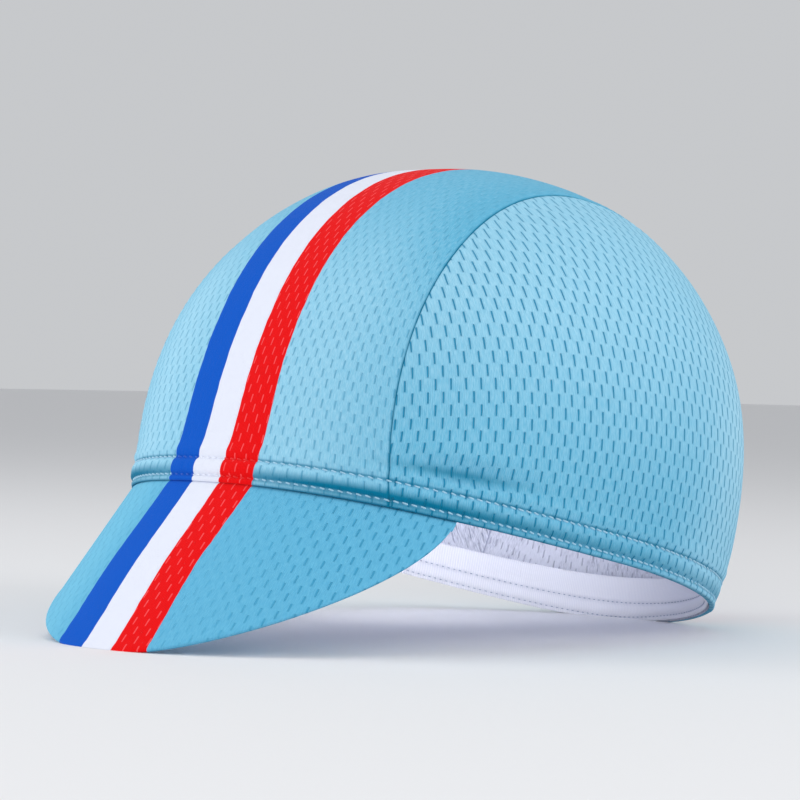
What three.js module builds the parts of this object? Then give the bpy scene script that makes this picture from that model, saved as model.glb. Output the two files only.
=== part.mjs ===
import * as THREE from 'three';
import { mergeVertices } from 'three/addons/utils/BufferGeometryUtils.js';

// A three-panel cycling cap, in millimetres and degrees. The crown and peak are drawn about the
// rim plane (z = 0, peak towards -Y, wearer's left +X), then laid down as the cap rests by itself:
// on the front edge of the peak and on the hem at the back.

// Driving dimensions
const rim = { halfWidth: 77, front: 98.8, back: 95.7, squareness: 2.5 };
const rimDrop = { back: 10, sides: 2.2 };
const crown = { height: 116.8, fabric: 1.2 };
const hem = { height: 7.2, wall: 2.6, puff: 1.1, taper: 2.6 };
const sweatband = { height: 12, wall: 1.2, lift: 0.4 };
const peak = {
  reach: 63.5, wall: 2.4, slope: 61.7, sideSlope: 2.5, span: 56,
  flare: 0.1, roundness: 1.95, setback: 0.6, cornerReach: 4,
};
const clearance = { seam: 0.3, seat: 0.3 };
const flattened = 1.2;

// How full the crown's profile is and how far it swells, looking out in three directions
const profiles = {
  front: { fullness: 2.22, swell: -0.037 },
  side: { fullness: 2.84, swell: 0.163 },
  back: { fullness: 2.46, swell: -0.064 },
};

// Half width of the centre panel on its way from the front (0) over the top (90) to the back (180),
// as a share of the rim's half width
const seamLine = [
  { around: 0, halfWidth: 0.743 },
  { around: 45, halfWidth: 0.675 },
  { around: 90, halfWidth: 0.566 },
  { around: 135, halfWidth: 0.62 },
  { around: 180, halfWidth: 0.715 },
];

// Soft dents pressed into the side panels above the hem: plan angle from the wearer's left towards the back,
// height and half height as shares of the crown's height, depth as a share of the rim's half width
const dents = [
  { plan: -33, halfPlan: 13, height: 0.125, halfHeight: 0.04, depth: 0.02 },
  { plan: 200, halfPlan: 22, height: 0.14, halfHeight: 0.06, depth: 0.014 },
];

// Rows of the hem, as shares of its height, and mesh steps
const hemRows = [0, 0.25, 0.5, 0.75, 1, 1.4];
const steps = { overTop: 22, across: 16, sideRows: 8, band: 84, bandRows: 3, peakAcross: 28, peakRows: 8 };

const colours = { sky: 0x86c5dc, white: 0xe9ecf4 };
const radians = THREE.MathUtils.degToRad;

function lerp(a, b, share) {
  return a + (b - a) * share;
}

// Even steps from 0 to 1
function evenShares(divisions) {
  const count = Math.max(Math.round(divisions), 3);
  return Array.from({ length: count + 1 }, (_, step) => step / count);
}

// The place between near and far where tooFar starts to hold
function solve(low, high, tooFar) {
  let [near, far] = [low, high];
  for (let step = 0; step < 40; step += 1) {
    const middle = (near + far) / 2;
    if (tooFar(middle)) far = middle;
    else near = middle;
  }
  return (near + far) / 2;
}

// The crown's surface

function direction(plan, elevation) {
  const level = Math.cos(elevation);
  return new THREE.Vector3(Math.cos(plan) * level, Math.sin(plan) * level, Math.sin(elevation));
}

function profileTowards(side, along) {
  const end = along < 0 ? profiles.front : profiles.back;
  return {
    fullness: lerp(end.fullness, profiles.side.fullness, side * side),
    swell: lerp(end.swell, profiles.side.swell, side * side),
  };
}

function profileStretch(level, upward, { fullness, swell }) {
  let stretch = 1;
  for (let pass = 0; pass < 8; pass += 1) {
    const height = Math.min(stretch * upward, 1);
    const swollen = level / (1 + 4 * swell * height * (1 - height));
    stretch = (swollen ** fullness + upward ** fullness) ** (-1 / fullness);
  }
  return stretch;
}

function rimSquareness(side, along) {
  const power = rim.squareness;
  return (Math.abs(side) ** power + Math.abs(along) ** power) ** (-1 / power);
}

function dentDepth(plan, height) {
  let depth = 0;
  for (const dent of dents) {
    const turn = Math.atan2(Math.sin(plan - radians(dent.plan)), Math.cos(plan - radians(dent.plan)));
    const away = Math.hypot(turn / radians(dent.halfPlan), (height - dent.height) / dent.halfHeight);
    depth += dent.depth * rim.halfWidth * Math.exp(-2 * away * away);
  }
  return depth;
}

// The point of the crown in a direction, a depth below its outer face
function crownPoint(towards, depth = 0) {
  const level = Math.hypot(towards.x, towards.y);
  const side = level > 0 ? towards.x / level : 1;
  const along = level > 0 ? towards.y / level : 0;
  const stretch = profileStretch(level, towards.z, profileTowards(side, along));
  const height = Math.min(stretch * towards.z, 1);
  const square = lerp(rimSquareness(side, along), 1, height);
  const inward = depth + dentDepth(Math.atan2(along, side), height);
  const length = (along < 0 ? rim.front : rim.back) - inward;
  const drop = (along > 0 ? rimDrop.back * along * along : 0) + rimDrop.sides * side * side;
  return new THREE.Vector3(
    (rim.halfWidth - inward) * stretch * towards.x * square,
    length * stretch * towards.y * square,
    (crown.height - depth) * stretch * towards.z - drop * (1 - height) ** 2,
  );
}

function elevationAtHeight(plan, height) {
  const share = height / crown.height;
  return solve(0, Math.PI / 2, (elevation) => {
    const towards = direction(plan, elevation);
    const profile = profileTowards(Math.cos(plan), Math.sin(plan));
    return profileStretch(Math.cos(elevation), towards.z, profile) * towards.z > share;
  });
}

function planOf(towards) {
  return Math.atan2(towards.y, towards.x);
}

function elevationOf(towards) {
  return Math.max(Math.asin(towards.z), 0);
}

function heightOf(towards) {
  const level = Math.hypot(towards.x, towards.y);
  const profile = profileTowards(towards.x / level, towards.y / level);
  return crown.height * profileStretch(level, towards.z, profile) * towards.z;
}

// Both faces of the cloth: the hem is a padded fold, thicker than the fabric above it

function hemPuff(height) {
  const share = THREE.MathUtils.clamp(height / hem.height, 0, 1);
  return hem.puff * Math.sin(Math.PI * share);
}

function clothDepth(height) {
  const share = THREE.MathUtils.smoothstep(height, hem.height, hem.height + hem.taper);
  return lerp(hem.wall, crown.fabric, share);
}

function outerFace(towards) {
  return crownPoint(towards, -hemPuff(heightOf(towards)));
}

function innerFace(towards) {
  return crownPoint(towards, clothDepth(heightOf(towards)));
}

// The seams between the panels

function seamHalfWidth(around) {
  const spacing = seamLine[1].around - seamLine[0].around;
  const place = THREE.MathUtils.clamp(around / spacing, 0, seamLine.length - 1);
  const first = Math.min(Math.floor(place), seamLine.length - 2);
  const at = (row) => seamLine[THREE.MathUtils.clamp(row, 0, seamLine.length - 1)].halfWidth;
  const share = place - first;
  const startSlope = (at(first + 1) - at(first - 1)) / 2;
  const endSlope = (at(first + 2) - at(first)) / 2;
  const [square, cube] = [share ** 2, share ** 3];
  return rim.halfWidth * ((2 * cube - 3 * square + 1) * at(first) + (cube - 2 * square + share) * startSlope
    + (3 * square - 2 * cube) * at(first + 1) + (cube - square) * endSlope);
}

// The direction at an angle around the X axis whose surface point lies at x
function directionAtX(around, x) {
  const angle = radians(around);
  const at = (lean) => new THREE.Vector3(
    Math.sin(lean), -Math.cos(lean) * Math.cos(angle), Math.cos(lean) * Math.sin(angle),
  );
  return at(solve(-Math.PI / 2, Math.PI / 2, (lean) => crownPoint(at(lean)).x > x));
}

// Across the centre panel, -1 and 1 are its two seams
function centreDirection(around, share) {
  return directionAtX(around, share * (seamHalfWidth(around) - clearance.seam / 2));
}

// Stations from the front rim over the top to the back rim, with rows that follow the hem's height
function stationsOverTop(share) {
  const atHeight = (row, rimAngle) => solve(rimAngle, 90, (around) => (
    heightOf(centreDirection(around, share)) > row * hem.height
  ));
  const front = hemRows.map((row) => atHeight(row, 0));
  const back = hemRows.map((row) => atHeight(row, 180)).reverse();
  const between = evenShares(steps.overTop).slice(1, -1).map((part) => lerp(front.at(-1), back[0], part));
  return [...front, ...between, ...back];
}

// Closed shells between two grids of points

function shell(outer, inner, ring = false) {
  const [rows, columns] = [outer.length, outer[0].length];
  const index = (face, row, column) => (face * rows + row) * columns + column;
  const triangles = [];
  const quad = (a, b, c, d) => triangles.push([a, b, c], [a, c, d]);
  const [top, last] = [rows - 1, columns - 1];
  for (let row = 0; row < top; row += 1) {
    for (let column = 0; column < last; column += 1) {
      quad(index(0, row, column), index(0, row, column + 1), index(0, row + 1, column + 1), index(0, row + 1, column));
      quad(index(1, row, column), index(1, row + 1, column), index(1, row + 1, column + 1), index(1, row, column + 1));
    }
    if (!ring) {
      quad(index(0, row, 0), index(0, row + 1, 0), index(1, row + 1, 0), index(1, row, 0));
      quad(index(1, row, last), index(1, row + 1, last), index(0, row + 1, last), index(0, row, last));
    }
  }
  for (let column = 0; column < last; column += 1) {
    quad(index(1, 0, column), index(1, 0, column + 1), index(0, 0, column + 1), index(0, 0, column));
    quad(index(0, top, column), index(0, top, column + 1), index(1, top, column + 1), index(1, top, column));
  }
  return closedGeometry([...outer.flat(), ...inner.flat()], triangles);
}

function closedGeometry(points, triangles) {
  const loose = new THREE.BufferGeometry().setFromPoints(points.map(laidDown));
  loose.setIndex(triangles.flat());
  const merged = mergeVertices(loose, 0.001);
  const kept = [];
  for (let start = 0; start < merged.index.count; start += 3) {
    const corners = [0, 1, 2].map((corner) => merged.index.getX(start + corner));
    if (new Set(corners).size === 3) kept.push(...corners);
  }
  merged.setIndex(kept);
  merged.computeVertexNormals();
  return merged;
}

function byRow(columns) {
  return columns[0].map((_, row) => columns.map((column) => column[row]));
}

function shellOfCloth(grid) {
  return shell(grid.map((row) => row.map(outerFace)), grid.map((row) => row.map(innerFace)));
}

// The panels

function centrePanelGeometry() {
  const columns = evenShares(steps.across).map((part) => {
    const share = 2 * part - 1;
    return stationsOverTop(share).map((around) => centreDirection(around, share));
  });
  return shellOfCloth(byRow(columns));
}

function sidePanelGeometry(side) {
  const stations = stationsOverTop(1);
  const [frontCorner, backCorner] = [0, 180].map((around) => planOf(seamDirection(around)));
  const columns = stations.map((around) => (
    sideColumn(seamDirection(around), lerp(frontCorner, backCorner, around / 180))
  ));
  const grid = byRow(columns);
  if (side < 0) grid.forEach((row) => row.reverse().forEach((towards) => towards.setX(-towards.x)));
  return shellOfCloth(grid);
}

function seamDirection(around) {
  return directionAtX(around, seamHalfWidth(around) + clearance.seam / 2);
}

// Directions from the rim up to a point of the seam
function sideColumn(seam, rimPlan) {
  const seamHeight = Math.max(heightOf(seam), 0);
  const top = elevationOf(seam);
  const elevations = hemRows.map((share, row) => elevationAtHeight(
    planOf(seam), Math.min(share * hem.height, (seamHeight * row) / hemRows.length),
  ));
  const start = elevations.at(-1);
  elevations.push(...evenShares(steps.sideRows).slice(1).map((part) => lerp(start, top, part)));
  return elevations.map((elevation) => (
    direction(lerp(rimPlan, planOf(seam), top > 0 ? elevation / top : 1), elevation)
  ));
}

// The sweatband, a ring just inside the hem

function sweatbandGeometry() {
  const depth = hem.wall + clearance.seat;
  const face = (wall) => evenShares(steps.bandRows).map((part) => (
    bandRow(sweatband.lift + sweatband.height * part, depth + wall)
  ));
  return shell(face(0), face(sweatband.wall), true);
}

function bandRow(height, depth) {
  return evenShares(steps.band).map((part) => {
    const plan = 2 * Math.PI * (part % 1);
    return crownPoint(direction(plan, elevationAtHeight(plan, height)), depth);
  });
}

// The peak, an arched plate whose root seats under the hem

function peakRoot(plan, depth) {
  const root = crownPoint(direction(plan, 0), peak.setback + depth);
  root.z -= clearance.seat;
  return root;
}

function peakHalfSpan() {
  return peakRoot(radians(peak.span - 90), 0).x;
}

function peakReach(x) {
  const share = Math.min(Math.abs(x) / peakHalfSpan(), 1);
  const reach = peak.reach * (1 - share ** peak.roundness) ** (1 / peak.roundness);
  return Math.max(reach, peak.cornerReach);
}

function peakPoint(plan, share, depth) {
  const x = peakRoot(plan, 0).x;
  const across = x / rim.halfWidth;
  const slope = radians(peak.slope + peak.sideSlope * across ** 2);
  const run = new THREE.Vector3(peak.flare * across, -Math.cos(slope), -Math.sin(slope));
  return peakRoot(plan, depth / Math.sin(slope)).addScaledVector(run, peakReach(x) * share);
}

function peakGeometry() {
  const face = (depth) => evenShares(steps.peakRows).map((part) => peakRow(1 - part, depth));
  return shell(face(0), face(peak.wall));
}

function peakRow(share, depth) {
  return evenShares(steps.peakAcross).map((part) => {
    const turn = Math.sin(Math.PI * (part - 0.5)) * peak.span;
    return peakPoint(radians(turn - 90), share, depth);
  });
}

// How the cap lies: turned about X until peak and hem touch, and pressed flat there

function restingTilt() {
  const tip = peakPoint(radians(-90), 1, 0);
  const heel = crownPoint(direction(radians(90), 0));
  return Math.atan2(heel.z - tip.z, heel.y - tip.y);
}

function turned(point) {
  return point.clone().applyAxisAngle(new THREE.Vector3(1, 0, 0), -restingTilt());
}

function laidDown(point) {
  const floor = turned(peakPoint(radians(-90), 1, 0)).z + flattened;
  const laid = turned(point);
  laid.z = Math.max(laid.z - floor, 0);
  return laid;
}

function piece(name, geometry, colour, roughness) {
  const material = new THREE.MeshStandardMaterial({ color: colour, roughness, metalness: 0 });
  const mesh = new THREE.Mesh(geometry, material);
  mesh.name = name;
  return mesh;
}

function cyclingCap() {
  const cap = new THREE.Group();
  cap.add(
    piece('crown_centre_panel', centrePanelGeometry(), colours.sky, 0.85),
    piece('crown_side_panel_left', sidePanelGeometry(1), colours.sky, 0.85),
    piece('crown_side_panel_right', sidePanelGeometry(-1), colours.sky, 0.85),
    piece('sweatband', sweatbandGeometry(), colours.white, 0.9),
    piece('peak', peakGeometry(), colours.sky, 0.8),
  );
  const box = new THREE.Box3().setFromObject(cap);
  const middle = box.getCenter(new THREE.Vector3());
  cap.position.set(-middle.x, -middle.y, -box.min.z);
  return cap;
}

export default cyclingCap();
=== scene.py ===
import math

import bmesh
import bpy
import numpy as np
from mathutils import Matrix, Vector


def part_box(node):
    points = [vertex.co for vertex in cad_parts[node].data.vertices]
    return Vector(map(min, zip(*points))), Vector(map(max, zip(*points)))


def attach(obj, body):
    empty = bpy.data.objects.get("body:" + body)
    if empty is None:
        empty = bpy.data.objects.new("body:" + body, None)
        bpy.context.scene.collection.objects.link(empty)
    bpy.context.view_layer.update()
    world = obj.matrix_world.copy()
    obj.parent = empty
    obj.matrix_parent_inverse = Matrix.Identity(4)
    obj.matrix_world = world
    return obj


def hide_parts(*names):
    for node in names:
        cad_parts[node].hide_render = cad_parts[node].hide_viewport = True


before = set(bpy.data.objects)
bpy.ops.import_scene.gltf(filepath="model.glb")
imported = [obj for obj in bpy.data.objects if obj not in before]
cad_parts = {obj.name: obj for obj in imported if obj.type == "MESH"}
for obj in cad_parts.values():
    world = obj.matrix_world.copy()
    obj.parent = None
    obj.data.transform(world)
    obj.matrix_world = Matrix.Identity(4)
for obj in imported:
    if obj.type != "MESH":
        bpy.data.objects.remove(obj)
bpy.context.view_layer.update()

# A cycling cap in printed mesh cloth. Sizes are in millimetres and degrees until laid_down(),
# which turns them into metres in the row frame. The cap is drawn about its rim plane, with the
# peak toward -Y and the wearer's left at +X, where the plan angle is 0.

RIM = {"half_width": 77.0, "front": 98.8, "back": 95.7, "squareness": 2.5}
RIM_DROP = {"back": 10.0, "sides": 2.2}
CROWN = {"height": 116.8, "fabric": 0.9}
HEM = {
    "height": 7.2, "lower_stitch": 1.9, "wall": 2.6, "edge_wall": 1.2, "thinned": 3.6,
    "taper": 2.2, "puff": 1.0, "lip": 0.4,
}
BAND = {
    "height": 12.0, "wall": 1.1, "lift": 0.4, "stitch": 5.0, "edge_stitch": 1.5, "edge": 0.6,
    "overhang": 1.1, "sagging": 0.5, "sag_from": (0.35, -0.1),
}
PEAK = {
    "reach": 63.5, "wall": 2.4, "slope": 61.7, "side_slope": 2.5, "span": 56.0, "flare": 0.1,
    "roundness": 1.95, "setback": 0.6, "corner_reach": 4.0, "tuck": 0.5, "edge": 1.2,
}
# The panels overlap at the seams, the sweatband keeps off the hem, and the floor flattens the peak's tip
SEAM_GAP = -0.3
SEAT_GAP = 0.3
FLATTENED = 1.2
SEAM_DEPTH = {"centre": 0.3, "side": 0.5}

# Fullness and swell of the crown's profile, looking out in three directions
PROFILES = {"front": (2.22, -0.037), "side": (2.84, 0.163), "back": (2.46, -0.064)}
PROFILE_PASSES = 8
# Elevation in radians below which every height that is looked for lies
STEEPEST = 1.2

# Half width of the centre panel at 0, 45, 90, 135 and 180 degrees over the top, as a share
SEAM_STEP = 45.0
SEAM_SHARES = (0.743, 0.675, 0.566, 0.62, 0.715)

# Dents in the side panels: plan angle, half plan, height share, half height share, depth share.
# The last two draw the hem in at the back corner of each side
DENTS = (
    {"plan": -33, "half_plan": 13, "height": 0.125, "half_height": 0.04, "depth": 0.02},
    {"plan": 200, "half_plan": 22, "height": 0.14, "half_height": 0.06, "depth": 0.014},
    {"plan": 58, "half_plan": 30, "height": 0.0, "half_height": 0.12, "depth": 0.036},
    {"plan": 122, "half_plan": 30, "height": 0.0, "half_height": 0.12, "depth": 0.036},
)

# Size, pace and turn of the waves that make an uneven one
WAVES = ((1.0, 0.9, 1.0), (0.6, 2.3, 1.7), (1.0, 0.37, -1.0))

# Low relief of the cloth. Forms and lines are a height or share, a place above, and a width
TUBE = {"fullness": 0.65, "fuller_in_front": 0.35, "uneven": 0.1, "wave": 9.0, "roundness": 0.6}
LIP_ROUNDNESS = 0.7
GATHER = {"depth": 0.12, "pace": 1.7}
STITCHED = {"sunk": 0.2, "pucker": 0.35, "width": 0.6}
ABOVE_HEM = (0.4, 2.6, 1.6)
CREASE = {"plan": -35, "half_plan": 15, "height": 11.9, "slope": 0.05, "depth": 1.0}
CREASE_FORMS = {"fold": (-1.0, 0.0, 1.9), "bulge": (0.7, 5.5, 3.0), "swell": (0.3, -2.8, 1.8)}
# Painted shade along the crease: strength, place above it and width
CREASE_SHADE = (0.75, 1.1, 1.5)
# The seam's relief, and the painted shade in its groove: dark, uneven, pace and dark_width
SEAM = {
    "groove": 0.5, "pitch": 3.4, "shoulder": 0.16, "pucker": 0.14, "beside": 2.2, "shoulder_width": 1.4,
    "dark": 1.3, "uneven": 0.4, "pace": 0.8, "dark_width": 0.45,
}
FOLDS = {"depth": 0.28, "x": 17, "y": 21, "z": 19, "z_bend": 23, "z_swing": 1.3, "x_bend": 27, "x_swing": 0.9}
PEAK_FORMS = {"root": (0.5, 0, 0.8), "bead": (0.14, 2.4, 1.0), "bead_below": 0.5}

# Painted shade on the hem, deepest at the peak's corners, which are given in radians from the front
CORNER = {"from_front": 0.72, "span": 0.5}
HEM_LINES = {"upper": (0.9, 0.35, 0.38), "lower": (0.6, -0.3, 0.4)}
HEM_SHADE = {
    "even": 0.8, "uneven": 0.2, "pace": 1.1, "under": 0.45, "under_corner": 0.7, "under_top": 1.2,
    "under_dark": 0.6, "under_foot": (-0.2, 0.5), "edge": 0.6, "edge_height": 0.5,
    "fold": 0.6, "fold_from": (-0.2, -0.8),
}
# Dents along the band's stitch rows: their depth and width, and how dark and uneven the painted shade in them
# is
BAND_DENT = {"depth": 0.3, "width": 0.5, "dark": 0.25, "uneven": 0.1}
BAND_SLACK = {"depth": 0.25, "pace": 9, "from": 0.4}

# Threads, and the run of the hem and the band for one radian of plan
STITCH = {"pitch": 2.8, "length": 2.2, "radius": 0.27, "slant": 0.2}
BAND_STITCH = {"pitch": 2.0, "length": 0.9, "radius": 0.14, "slant": 0.0}
HEM_RADIUS = RIM["half_width"] * 1.13
BAND_RADIUS = RIM["half_width"] * 1.1

STRIPE = {
    "width": 11.9, "blue": 11.3, "red": 13.1, "shift": 1.55, "drift": -6.4,
    "peak_shift": 1.4, "peak_drift": -1.3, "drift_from": 0.45, "peak_blend": 30.0,
    "soft": 0.16, "waver": 0.8, "waver_pace": 0.15, "waver_across": 0.15, "red_slits": 0.6,
}
# Where the printed stripe wanders: degrees over the top, half span and sideways shift
WANDER = ((9, 7, 1.1), (40, 14, -0.9), (72, 8, 1.0))
SLIT = {
    "across": 4.7, "along": 3.1, "length": 2.65, "width": 0.47, "dimple_shade": 1.25, "taper": 0.025,
    "edge": (0.75, 0.25),
}
# Grain of the side panels: bend and fall of the rows, lean and narrowing of the columns
GRAIN = {
    "bend": 0.00094, "fall": 0.04, "lean": 0.2, "narrowing": 0.0012, "fixed": -60.0,
    "row_growth": 0.25, "growth_from": 18.0,
}
PANEL_NARROWING = 0.3

# How strong the slits are, and how pale the cloth is painted, as painted light and sheen. Ramps are an
# amount, and where it starts and ends
CENTRE_LOOK = {
    "slits": 0.4, "slits_up": (-0.31, 0.45, 0.97), "painted_light": 0.45, "light_up": (-0.48, 0.5, 0.9),
    "light_beside": (-0.26, 30, 58), "light_right": (0.2, 14, 40),
}
SIDE_LOOK = {
    "slits": 0.88, "slits_up": (-0.3, 60, 105), "light_up": (0.5, 8, 75),
    "light_back": (0.5, 0.1, 0.5), "light_low": (1, 90, 40),
}
# At the peak's root the cloth is painted darker, as shade where it meets the crown
PEAK_LOOK = {
    "slits": 0.14, "slits_beside": (0.36, 22, 56), "light_right": (0.4, 12, 30), "root": (0.55, 1.7, 0.4),
}

METRES = 0.001
OFF_PRINT = 99.0
# In metres, how near vertices are joined, and in degrees, the angle that stays sharp
MERGED = 2e-6
SHARP_ANGLE = 50
ROWS = {"hem": 36, "over_top": 240, "band": 41, "peak_edge": 9, "peak": 112}
COLUMNS = {"centre": 72, "side": 100, "band": 520, "peak": 241, "stitches": 1200}
FINEST = {"centre": 0.3, "side": 0.25}
ROWS_PAST_HEM = 3.2
HEM_ROWS = np.linspace(0, HEM["height"] + ROWS_PAST_HEM, ROWS["hem"])
# How far over the top, in degrees, the rows of the hem reach at the most
HEM_TURN = 26
SAMPLES = {"hem_turn": 60, "levels": 60, "wall": 200}
HIGHEST_LEVEL = 0.97
# Each thread's rings and sides, its arch in radii, and how far the rows stand out of and into the cloth
THREAD = {"rings": 7, "sides": 8, "rise": 0.9, "ends_sink": 1.7, "blunt": 1.02}
OUT_OF_HEM = 0.05
INTO_BAND = 0.22
JUST_ABOVE = 0.6

# The photograph's camera about the rim plane, in degrees, millimetres and pixels of 800
VIEW = {"azimuth": 45.52, "elevation": -8.05, "roll": 9.41, "distance": 974.9, "focal": 3069.0}
VIEW_TARGET = (0.0, 0.0, 50.0)
VIEW_OFFSET = (60.7, -13.7)
PICTURE = 800
SENSOR = 36.0

# Lamps in metres: place, size and power, then aim and spread where they aren't the usual ones.
# The one inside the crown stands for the light that falls through the cloth
LAMPS = {
    "front": ((0.75, -1.25, 0.5), 0.7, 5),
    "left": ((-1.1, -0.9, 0.45), 0.7, 7.5),
    "right": ((1.4, 0.5, 0.6), 0.8, 8),
    "top": ((-0.1, -0.1, 1.7), 1.3, 5),
    "through_cloth": ((0.02, -0.02, 0.045), 0.04, 0.09, (-0.06, 0.08, 0.09), 1.9),
}
FLOOR = {"half": 12.0, "colour": (0.8, 0.8, 0.81, 1), "roughness": 0.9}
SKY = {"colour": (0.95, 0.97, 1, 1), "strength": 0.6}


def lerp(a, b, share):
    return a + (b - a) * share


def smoothstep(value, low, high):
    share = np.clip((value - low) / (high - low), 0, 1)
    return share * share * (3 - 2 * share)


def ramp(value, amount, low, high):
    """0 up to low, and amount from high on."""
    return amount * smoothstep(value, low, high)


def hill(value, middle, width):
    """1 in the middle, and less to both sides."""
    return np.exp(-((value - middle) / width) ** 2)


def line(value, strength, middle, width):
    return strength * hill(value, middle, width)


def rounding(wall, from_edge, radius):
    """How far each face of a wall draws in toward its rounded edge."""
    share = np.clip(from_edge / radius, 0, 1)
    return 0.5 * wall * (1 - np.sqrt(np.clip(1 - (1 - share) ** 2, 0, 1)))


def bisect(low, high, too_far, passes=26):
    """The switching point of too_far in each entry, between arrays low and high."""
    near, far = np.array(low, float), np.array(high, float)
    for _ in range(passes):
        middle = (near + far) / 2
        over = too_far(middle)
        far = np.where(over, middle, far)
        near = np.where(over, near, middle)
    return (near + far) / 2


# The crown's surface, as in the solids

def direction(plan, elevation):
    level = np.cos(elevation)
    return np.stack([np.cos(plan) * level, np.sin(plan) * level, np.sin(elevation)], -1)


def plan_of(towards):
    return np.arctan2(towards[..., 1], towards[..., 0])


def sides_of(towards):
    level = np.hypot(towards[..., 0], towards[..., 1])
    safe = np.maximum(level, 1e-9)
    return level, towards[..., 0] / safe, towards[..., 1] / safe


def profile_stretch(towards):
    """How far the profile of height and half width 1 lies in a direction."""
    level, side, along = sides_of(towards)
    end = np.where((along < 0)[..., None], PROFILES["front"], PROFILES["back"])
    profile = lerp(end, np.array(PROFILES["side"]), (side * side)[..., None])
    fullness, swell = profile[..., 0], profile[..., 1]
    upward = np.maximum(towards[..., 2], 0)
    stretch = np.ones_like(upward)
    for _ in range(PROFILE_PASSES):
        height = np.minimum(stretch * upward, 1)
        swollen = level / (1 + 4 * swell * height * (1 - height))
        stretch = (swollen ** fullness + upward ** fullness) ** (-1 / fullness)
    return stretch


def dent_depth(plan, height):
    depth = np.zeros_like(plan)
    for dent in DENTS:
        turn = np.angle(np.exp(1j * (plan - math.radians(dent["plan"]))))
        rise = (height - dent["height"]) / dent["half_height"]
        away = np.hypot(turn / math.radians(dent["half_plan"]), rise)
        depth += dent["depth"] * RIM["half_width"] * np.exp(-2 * away * away)
    return depth


def crown_point(towards, depth=0.0):
    """The point of the crown in a direction, a depth below its outer face."""
    level, side, along = sides_of(towards)
    stretch = profile_stretch(towards)
    height = np.minimum(stretch * towards[..., 2], 1)
    power = RIM["squareness"]
    square = (np.abs(side) ** power + np.abs(along) ** power + 1e-12) ** (-1 / power)
    square = lerp(square, 1, height)
    inward = depth + dent_depth(np.arctan2(along, side), height)
    length = np.where(along < 0, RIM["front"], RIM["back"]) - inward
    drop = np.where(along > 0, RIM_DROP["back"] * along ** 2, 0) + RIM_DROP["sides"] * side ** 2
    return np.stack([
        (RIM["half_width"] - inward) * stretch * towards[..., 0] * square,
        length * stretch * towards[..., 1] * square,
        (CROWN["height"] - depth) * stretch * towards[..., 2] - drop * (1 - height) ** 2,
    ], -1)


def height_of(towards):
    return CROWN["height"] * profile_stretch(towards) * towards[..., 2]


def elevation_at_height(plan, height):
    plan, height = np.broadcast_arrays(np.asarray(plan, float), np.asarray(height, float))
    steepest = np.full(plan.shape, STEEPEST)
    return bisect(np.zeros(plan.shape), steepest, lambda e: height_of(direction(plan, e)) > height)


def seam_half_width(around):
    """Half the centre panel's width, on a smooth curve through the shares."""
    shares = np.array(SEAM_SHARES)
    place = np.clip(np.asarray(around, float) / SEAM_STEP, 0, len(shares) - 1)
    first = np.minimum(place.astype(int), len(shares) - 2)
    before, here, after, beyond = (shares[np.clip(first + row, 0, len(shares) - 1)] for row in (-1, 0, 1, 2))
    start, end = (after - before) / 2, (beyond - here) / 2
    share = place - first
    square, cube = share ** 2, share ** 3
    return RIM["half_width"] * (
        (2 * cube - 3 * square + 1) * here + (cube - 2 * square + share) * start
        + (3 * square - 2 * cube) * after + (cube - square) * end
    )


def direction_at_x(around, x):
    """The direction at an angle round the X axis whose surface point lies at x."""
    angle, x = np.broadcast_arrays(np.radians(around), np.asarray(x, float))

    def at(lean):
        level = np.cos(lean)
        return np.stack([np.sin(lean), -level * np.cos(angle), level * np.sin(angle)], -1)

    flat = np.full(x.shape, math.pi / 2)
    return at(bisect(-flat, flat, lambda lean: crown_point(at(lean))[..., 0] > x))


# How the cap lies on the surface

def peak_root(plan, depth):
    root = crown_point(direction(plan, 0 * plan), PEAK["setback"] + depth)
    root[..., 2] += PEAK["tuck"]
    return root


def peak_half_span():
    return float(peak_root(np.array(math.radians(PEAK["span"] - 90)), 0)[0])


def peak_reach(x):
    share = np.minimum(np.abs(x) / peak_half_span(), 1)
    reach = PEAK["reach"] * (1 - share ** PEAK["roundness"]) ** (1 / PEAK["roundness"])
    return np.maximum(reach, PEAK["corner_reach"])


def peak_point(plan, run_length, depth):
    across = peak_root(plan, 0)[..., 0] / RIM["half_width"]
    slope = np.radians(PEAK["slope"] + PEAK["side_slope"] * across ** 2)
    run = np.stack([PEAK["flare"] * across, -np.cos(slope), -np.sin(slope)], -1)
    return peak_root(plan, depth / np.sin(slope)) + run * run_length[..., None]


FRONT = np.array(math.radians(-90))
PEAK_TIP = peak_point(FRONT, np.array(PEAK["reach"]), 0)
HEEL = crown_point(direction(np.array(math.radians(90)), np.array(0.0)))
TILT = math.atan2(HEEL[2] - PEAK_TIP[2], HEEL[1] - PEAK_TIP[1])
TURN = np.array(Matrix.Rotation(-TILT, 3, "X"))
TURNED_TIP = TURN @ PEAK_TIP
SHIFT = np.array([0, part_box("peak")[0].y / METRES - TURNED_TIP[1], -TURNED_TIP[2] - FLATTENED])


def laid_down(points):
    laid = points @ TURN.T + SHIFT
    laid[..., 2] = np.maximum(laid[..., 2], 0)
    return laid * METRES


# Meshes from grids

def grid_faces(rows, columns, offset=0, flip=False, ring=False):
    row, column = np.meshgrid(np.arange(rows - 1), np.arange(columns if ring else columns - 1), indexing="ij")
    after = (column + 1) % columns
    start, end = row * columns + offset, (row + 1) * columns + offset
    faces = np.stack([start + column, start + after, end + after, end + column], -1).reshape(-1, 4)
    return faces[:, ::-1] if flip else faces


def join_edge(outer_edge, inner_edge):
    """Faces between two runs of vertices that lie opposite each other."""
    return np.stack([inner_edge[:-1], inner_edge[1:], outer_edge[1:], outer_edge[:-1]], -1)


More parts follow.
